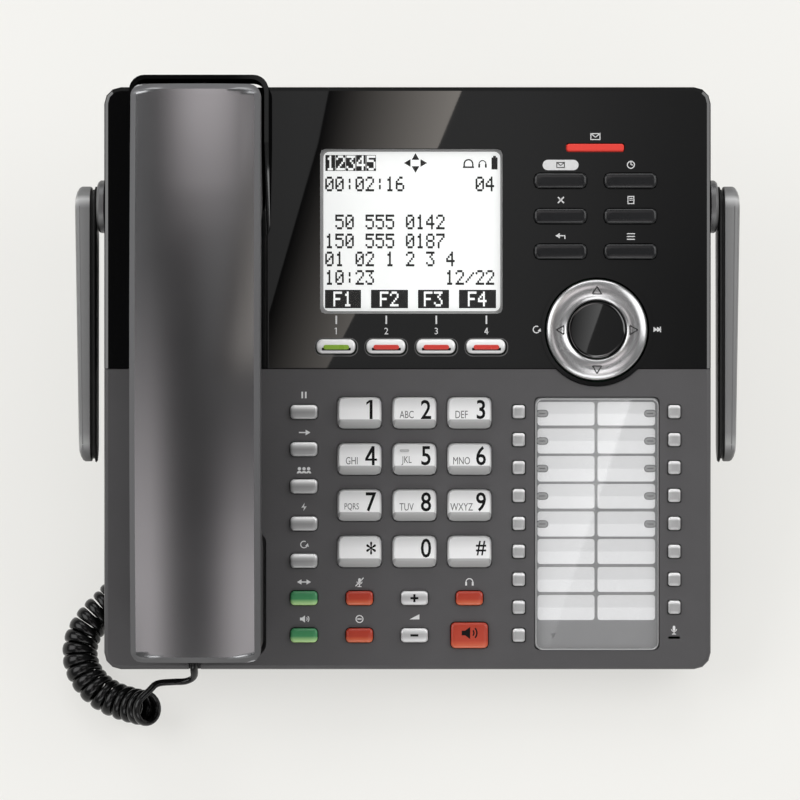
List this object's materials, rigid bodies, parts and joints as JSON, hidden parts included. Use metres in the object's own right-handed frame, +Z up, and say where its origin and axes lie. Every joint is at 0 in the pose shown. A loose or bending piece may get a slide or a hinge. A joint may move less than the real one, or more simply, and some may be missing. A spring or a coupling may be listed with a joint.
{
  "type": "multi-line desk phone console",
  "caption": "Sloping desk phone console with a corded handset in a cradle, a display, a dial pad, line and station keys, an index and swing-up aerials.",
  "frame": {"origin": "on the desk, under the middle of the console without its cord", "axes": "+X to the user's right, +Y away from the user, +Z up from the desk"},
  "size_m": [0.2467, 0.2245, 0.1273],
  "materials": {
    "case_grey": "fine matt texture",
    "gloss_black": "high gloss",
    "shell_black": "satin",
    "handset_grey": "metallic satin lacquer",
    "key_silver": "silver satin lacquer",
    "key_green": "tinted satin",
    "key_orange": "tinted satin",
    "chrome_ring": "polished plating",
    "lamp_red": "tinted lens",
    "clear_plastic": "clear polished",
    "display_white": "lit display",
    "card_white": "matt card",
    "board_green": "solder mask",
    "cord_black": "semi-gloss jacket"
  },
  "bodies": {
    "console": {"front_case": "case_grey", "gloss_fascia": "gloss_black", "bottom_case": "shell_black", "desk_stand": "shell_black", "display_lens": "clear_plastic", "display_panel": "display_white", "message_lamp": "lamp_red", "index_card": "card_white", "index_cover": "clear_plastic", "main_board": "board_green", "base_plug": "cord_black", "cord_lead": "cord_black", "cord_coil": "cord_black"},
    "nav_disc": {"nav_disc": "gloss_black"},
    "nav_ring": {"nav_ring": "chrome_ring"},
    "left_aerial": {"left_aerial": "case_grey", "left_aerial_hub": "case_grey"},
    "right_aerial": {"right_aerial": "case_grey", "right_aerial_hub": "case_grey"},
    "handset": {"handset_back_shell": "handset_grey", "handset_front_shell": "shell_black", "handset_plug": "cord_black"},
    "hook_switch": {"hook_switch": "shell_black"},
    "station_keys_left": {"station_keys_left": "key_silver"},
    "station_keys_right": {"station_keys_right": "key_silver"},
    "speaker_key": {"speaker_key": "key_orange"},
    "soft_key_1": {"soft_key_1": "gloss_black"},
    "line_key_1": {"line_key_1": "key_silver"},
    "dial_key_5": {"dial_key_5": "key_silver"},
    "function_key_1": {"function_key_1": "key_silver"},
    "dial_key_1": {"dial_key_1": "key_silver"},
    "dial_key_2": {"dial_key_2": "key_silver"},
    "dial_key_3": {"dial_key_3": "key_silver"},
    "dial_key_4": {"dial_key_4": "key_silver"},
    "dial_key_6": {"dial_key_6": "key_silver"},
    "dial_key_7": {"dial_key_7": "key_silver"},
    "dial_key_8": {"dial_key_8": "key_silver"},
    "dial_key_9": {"dial_key_9": "key_silver"},
    "dial_key_star": {"dial_key_star": "key_silver"},
    "dial_key_0": {"dial_key_0": "key_silver"},
    "dial_key_hash": {"dial_key_hash": "key_silver"},
    "function_key_2": {"function_key_2": "key_silver"},
    "function_key_3": {"function_key_3": "key_silver"},
    "function_key_4": {"function_key_4": "key_silver"},
    "function_key_5": {"function_key_5": "key_silver"},
    "green_key_1": {"green_key_1": "key_green"},
    "green_key_2": {"green_key_2": "key_green"},
    "orange_key_1": {"orange_key_1": "key_orange"},
    "orange_key_2": {"orange_key_2": "key_orange"},
    "volume_up_key": {"volume_up_key": "key_silver"},
    "volume_down_key": {"volume_down_key": "key_silver"},
    "headset_key": {"headset_key": "key_orange"},
    "line_key_2": {"line_key_2": "key_silver"},
    "line_key_3": {"line_key_3": "key_silver"},
    "line_key_4": {"line_key_4": "key_silver"},
    "soft_key_2": {"soft_key_2": "gloss_black"},
    "soft_key_3": {"soft_key_3": "gloss_black"},
    "soft_key_4": {"soft_key_4": "gloss_black"},
    "soft_key_5": {"soft_key_5": "gloss_black"},
    "soft_key_6": {"soft_key_6": "gloss_black"}
  },
  "joints": [
    {"name": "nav_rock_left_right", "type": "hinge", "parent": "console", "child": "nav_disc", "pos_m": [0.0682, 0.01421, 0.06474], "axis": [0, 0.9272, 0.3746], "range_deg": [-2.5, 2.5], "stiffness_Nm_per_rad": 0.3},
    {"name": "nav_rock_up_down", "type": "hinge", "parent": "nav_disc", "child": "nav_ring", "pos_m": [0.0682, 0.01421, 0.06474], "axis": [1, 0, 0], "range_deg": [-2.5, 2.5], "stiffness_Nm_per_rad": 0.3},
    {"name": "left_aerial_swing", "type": "hinge", "parent": "console", "child": "left_aerial", "pos_m": [-0.1094, 0.06035, 0.0712], "axis": [-1, 0, 0], "range_deg": [0, 180]},
    {"name": "right_aerial_swing", "type": "hinge", "parent": "console", "child": "right_aerial", "pos_m": [0.1094, 0.06035, 0.0712], "axis": [-1, 0, 0], "range_deg": [0, 180]},
    {"name": "handset_lift", "type": "slide", "parent": "console", "child": "handset", "axis": [0, -0.3746, 0.9272], "range_m": [0, 0.1]},
    {"name": "hook_rise", "type": "slide", "parent": "console", "child": "hook_switch", "axis": [0, -0.3746, 0.9272], "range_m": [0, 0.004]},
    {"name": "press_station_keys_left", "type": "slide", "parent": "console", "child": "station_keys_left", "axis": [0, 0.3746, -0.9272], "range_m": [0, 0.0008], "stiffness_N_per_m": 400},
    {"name": "press_station_keys_right", "type": "slide", "parent": "console", "child": "station_keys_right", "axis": [0, 0.3746, -0.9272], "range_m": [0, 0.0008], "stiffness_N_per_m": 400},
    {"name": "press_speaker_key", "type": "slide", "parent": "console", "child": "speaker_key", "axis": [0, 0.3746, -0.9272], "range_m": [0, 0.0012], "stiffness_N_per_m": 400},
    {"name": "press_soft_key_1", "type": "slide", "parent": "console", "child": "soft_key_1", "axis": [0, 0.3746, -0.9272], "range_m": [0, 0.0012], "stiffness_N_per_m": 400},
    {"name": "press_line_key_1", "type": "slide", "parent": "console", "child": "line_key_1", "axis": [0, 0.3746, -0.9272], "range_m": [0, 0.0012], "stiffness_N_per_m": 400},
    {"name": "press_dial_key_5", "type": "slide", "parent": "console", "child": "dial_key_5", "axis": [0, 0.3746, -0.9272], "range_m": [0, 0.0012], "stiffness_N_per_m": 400},
    {"name": "press_function_key_1", "type": "slide", "parent": "console", "child": "function_key_1", "axis": [0, 0.3746, -0.9272], "range_m": [0, 0.0012], "stiffness_N_per_m": 400},
    {"name": "press_dial_key_1", "type": "slide", "parent": "console", "child": "dial_key_1", "axis": [0, 0.3746, -0.9272], "range_m": [0, 0.0012], "stiffness_N_per_m": 400},
    {"name": "press_dial_key_2", "type": "slide", "parent": "console", "child": "dial_key_2", "axis": [0, 0.3746, -0.9272], "range_m": [0, 0.0012], "stiffness_N_per_m": 400},
    {"name": "press_dial_key_3", "type": "slide", "parent": "console", "child": "dial_key_3", "axis": [0, 0.3746, -0.9272], "range_m": [0, 0.0012], "stiffness_N_per_m": 400},
    {"name": "press_dial_key_4", "type": "slide", "parent": "console", "child": "dial_key_4", "axis": [0, 0.3746, -0.9272], "range_m": [0, 0.0012], "stiffness_N_per_m": 400},
    {"name": "press_dial_key_6", "type": "slide", "parent": "console", "child": "dial_key_6", "axis": [0, 0.3746, -0.9272], "range_m": [0, 0.0012], "stiffness_N_per_m": 400},
    {"name": "press_dial_key_7", "type": "slide", "parent": "console", "child": "dial_key_7", "axis": [0, 0.3746, -0.9272], "range_m": [0, 0.0012], "stiffness_N_per_m": 400},
    {"name": "press_dial_key_8", "type": "slide", "parent": "console", "child": "dial_key_8", "axis": [0, 0.3746, -0.9272], "range_m": [0, 0.0012], "stiffness_N_per_m": 400},
    {"name": "press_dial_key_9", "type": "slide", "parent": "console", "child": "dial_key_9", "axis": [0, 0.3746, -0.9272], "range_m": [0, 0.0012], "stiffness_N_per_m": 400},
    {"name": "press_dial_key_star", "type": "slide", "parent": "console", "child": "dial_key_star", "axis": [0, 0.3746, -0.9272], "range_m": [0, 0.0012], "stiffness_N_per_m": 400},
    {"name": "press_dial_key_0", "type": "slide", "parent": "console", "child": "dial_key_0", "axis": [0, 0.3746, -0.9272], "range_m": [0, 0.0012], "stiffness_N_per_m": 400},
    {"name": "press_dial_key_hash", "type": "slide", "parent": "console", "child": "dial_key_hash", "axis": [0, 0.3746, -0.9272], "range_m": [0, 0.0012], "stiffness_N_per_m": 400},
    {"name": "press_function_key_2", "type": "slide", "parent": "console", "child": "function_key_2", "axis": [0, 0.3746, -0.9272], "range_m": [0, 0.0012], "stiffness_N_per_m": 400},
    {"name": "press_function_key_3", "type": "slide", "parent": "console", "child": "function_key_3", "axis": [0, 0.3746, -0.9272], "range_m": [0, 0.0012], "stiffness_N_per_m": 400},
    {"name": "press_function_key_4", "type": "slide", "parent": "console", "child": "function_key_4", "axis": [0, 0.3746, -0.9272], "range_m": [0, 0.0012], "stiffness_N_per_m": 400},
    {"name": "press_function_key_5", "type": "slide", "parent": "console", "child": "function_key_5", "axis": [0, 0.3746, -0.9272], "range_m": [0, 0.0012], "stiffness_N_per_m": 400},
    {"name": "press_green_key_1", "type": "slide", "parent": "console", "child": "green_key_1", "axis": [0, 0.3746, -0.9272], "range_m": [0, 0.0012], "stiffness_N_per_m": 400},
    {"name": "press_green_key_2", "type": "slide", "parent": "console", "child": "green_key_2", "axis": [0, 0.3746, -0.9272], "range_m": [0, 0.0012], "stiffness_N_per_m": 400},
    {"name": "press_orange_key_1", "type": "slide", "parent": "console", "child": "orange_key_1", "axis": [0, 0.3746, -0.9272], "range_m": [0, 0.0012], "stiffness_N_per_m": 400},
    {"name": "press_orange_key_2", "type": "slide", "parent": "console", "child": "orange_key_2", "axis": [0, 0.3746, -0.9272], "range_m": [0, 0.0012], "stiffness_N_per_m": 400},
    {"name": "press_volume_up_key", "type": "slide", "parent": "console", "child": "volume_up_key", "axis": [0, 0.3746, -0.9272], "range_m": [0, 0.0012], "stiffness_N_per_m": 400},
    {"name": "press_volume_down_key", "type": "slide", "parent": "console", "child": "volume_down_key", "axis": [0, 0.3746, -0.9272], "range_m": [0, 0.0012], "stiffness_N_per_m": 400},
    {"name": "press_headset_key", "type": "slide", "parent": "console", "child": "headset_key", "axis": [0, 0.3746, -0.9272], "range_m": [0, 0.0012], "stiffness_N_per_m": 400},
    {"name": "press_line_key_2", "type": "slide", "parent": "console", "child": "line_key_2", "axis": [0, 0.3746, -0.9272], "range_m": [0, 0.0012], "stiffness_N_per_m": 400},
    {"name": "press_line_key_3", "type": "slide", "parent": "console", "child": "line_key_3", "axis": [0, 0.3746, -0.9272], "range_m": [0, 0.0012], "stiffness_N_per_m": 400},
    {"name": "press_line_key_4", "type": "slide", "parent": "console", "child": "line_key_4", "axis": [0, 0.3746, -0.9272], "range_m": [0, 0.0012], "stiffness_N_per_m": 400},
    {"name": "press_soft_key_2", "type": "slide", "parent": "console", "child": "soft_key_2", "axis": [0, 0.3746, -0.9272], "range_m": [0, 0.0012], "stiffness_N_per_m": 400},
    {"name": "press_soft_key_3", "type": "slide", "parent": "console", "child": "soft_key_3", "axis": [0, 0.3746, -0.9272], "range_m": [0, 0.0012], "stiffness_N_per_m": 400},
    {"name": "press_soft_key_4", "type": "slide", "parent": "console", "child": "soft_key_4", "axis": [0, 0.3746, -0.9272], "range_m": [0, 0.0012], "stiffness_N_per_m": 400},
    {"name": "press_soft_key_5", "type": "slide", "parent": "console", "child": "soft_key_5", "axis": [0, 0.3746, -0.9272], "range_m": [0, 0.0012], "stiffness_N_per_m": 400},
    {"name": "press_soft_key_6", "type": "slide", "parent": "console", "child": "soft_key_6", "axis": [0, 0.3746, -0.9272], "range_m": [0, 0.0012], "stiffness_N_per_m": 400}
  ],
  "couplings": [
    {"joint": "hook_rise", "follows": "handset_lift", "ratio": 0.04}
  ]
}
